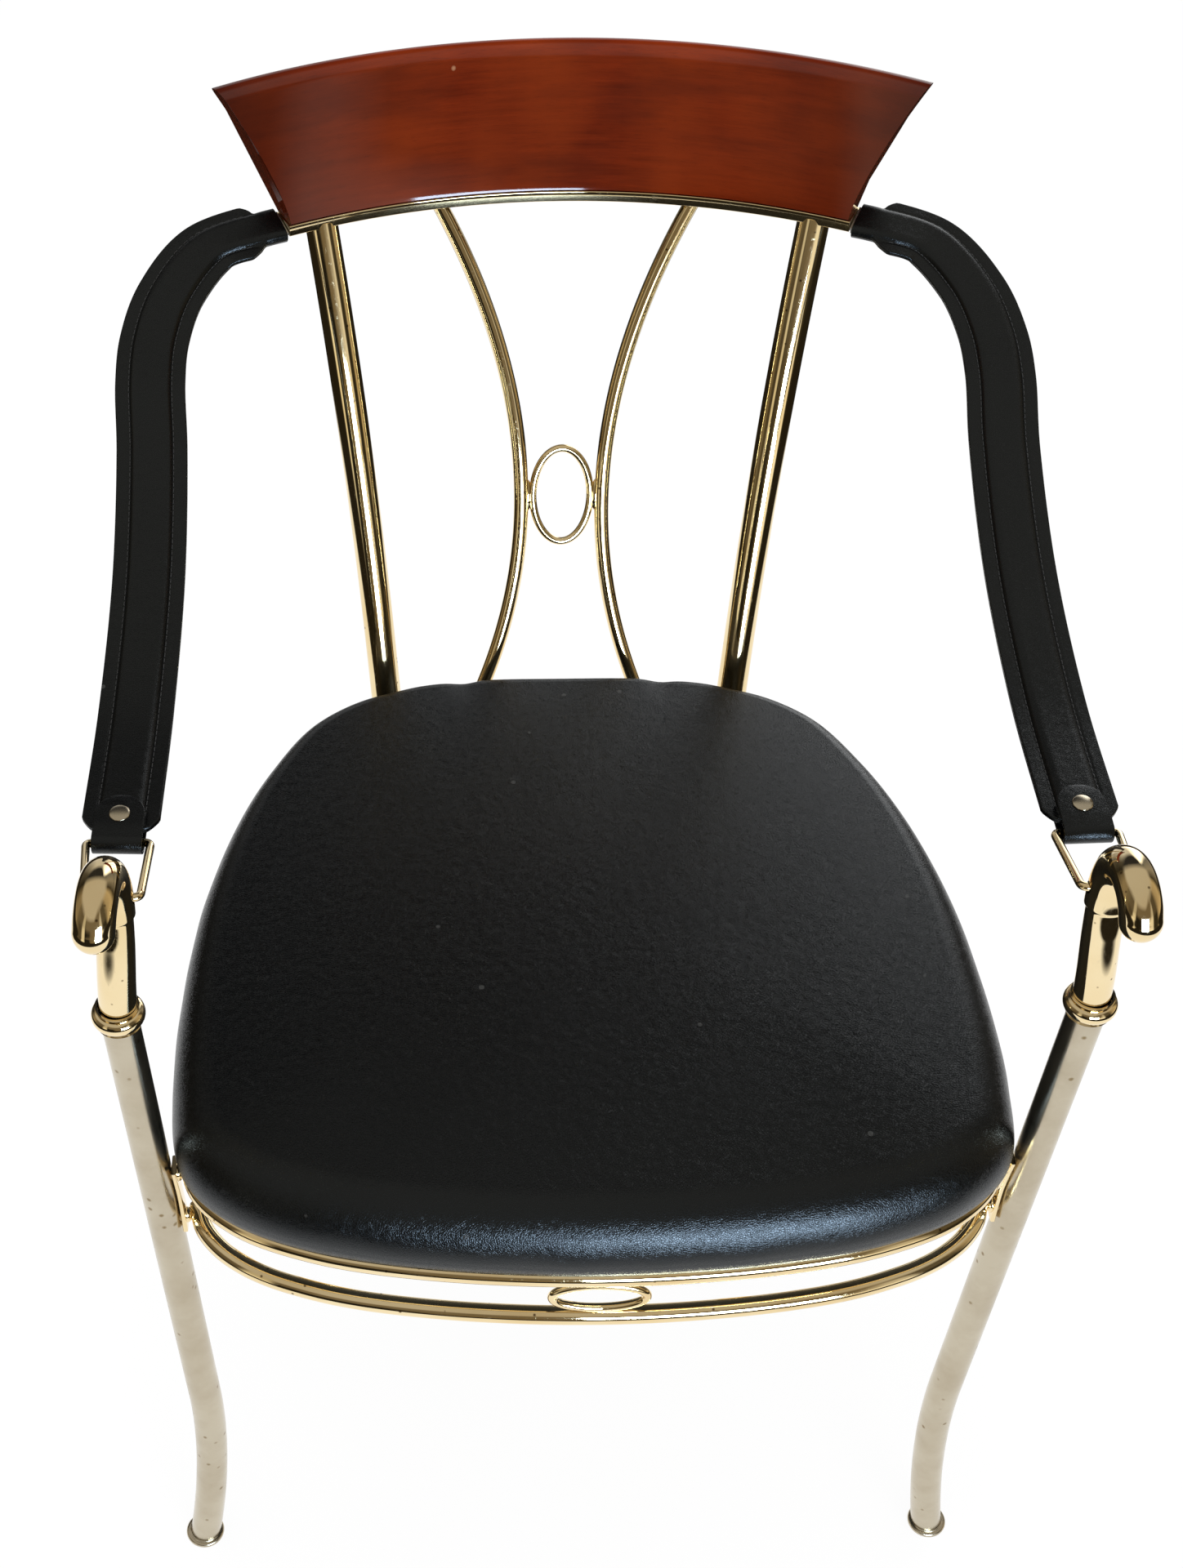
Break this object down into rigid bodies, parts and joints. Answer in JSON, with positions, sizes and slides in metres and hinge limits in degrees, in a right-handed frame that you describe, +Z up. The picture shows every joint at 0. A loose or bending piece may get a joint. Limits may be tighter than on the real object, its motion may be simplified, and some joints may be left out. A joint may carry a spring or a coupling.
{
  "type": "klismos armchair",
  "caption": "Klismos armchair with a bent brass tube frame, curved wooden crest rail, round-cornered leather seat pad and leather strap arms hung from hooked finials by wire rings.",
  "frame": {"origin": "middle of the chair's bounding box, on the floor under the foot glides", "axes": "+X across the chair, towards the viewer's right seen from the front; +Y from the front of the seat to the back; +Z up"},
  "size_m": [0.5944, 0.688, 0.8788],
  "materials": {
    "brass": "mirror polished and lacquered",
    "satin_brass": "pale satin",
    "mahogany": "high gloss lacquer",
    "leather": "fine grain, soft sheen",
    "steel": "plain",
    "plywood": "bare",
    "foam": "open cell"
  },
  "bodies": {
    "chair_frame": {"left_front_leg": "satin_brass", "right_front_leg": "satin_brass", "left_front_glide": "satin_brass", "right_front_glide": "satin_brass", "left_rear_leg": "brass", "right_rear_leg": "brass", "left_rear_glide": "satin_brass", "right_rear_glide": "satin_brass", "left_leg_bracket": "brass", "right_leg_bracket": "brass", "seat_hoop": "brass", "front_rail": "brass", "front_oval": "brass", "left_splat_rod": "brass", "right_splat_rod": "brass", "back_oval": "brass", "crest_band": "brass", "crest_rail": "mahogany", "crest_screw_1": "brass", "crest_screw_2": "brass", "crest_screw_3": "brass", "seat_cover": "leather", "seat_board": "plywood", "seat_foam": "foam", "seat_lug_1": "brass", "seat_lug_2": "brass", "seat_lug_3": "brass", "seat_lug_4": "brass", "seat_screw_1": "steel", "seat_screw_2": "steel", "seat_screw_3": "steel", "seat_screw_4": "steel", "left_collar": "brass", "right_collar": "brass", "left_finial": "brass", "right_finial": "brass", "left_arm_core": "steel", "right_arm_core": "steel", "left_arm_top": "leather", "right_arm_top": "leather", "left_arm_underside": "leather", "right_arm_underside": "leather", "left_arm_tab": "leather", "right_arm_tab": "leather", "left_arm_rivet": "satin_brass", "right_arm_rivet": "satin_brass"},
    "left_wire_ring": {"left_ring": "brass"},
    "right_wire_ring": {"right_ring": "brass"}
  },
  "joints": [
    {"name": "left_ring_swing", "type": "hinge", "parent": "chair_frame", "child": "left_wire_ring", "pos_m": [-0.272, -0.24596, 0.668], "axis": [1, 0, 0], "range_deg": [-1.5, 1.5]},
    {"name": "right_ring_swing", "type": "hinge", "parent": "chair_frame", "child": "right_wire_ring", "pos_m": [0.272, -0.24596, 0.668], "axis": [1, 0, 0], "range_deg": [-1.5, 1.5]}
  ]
}
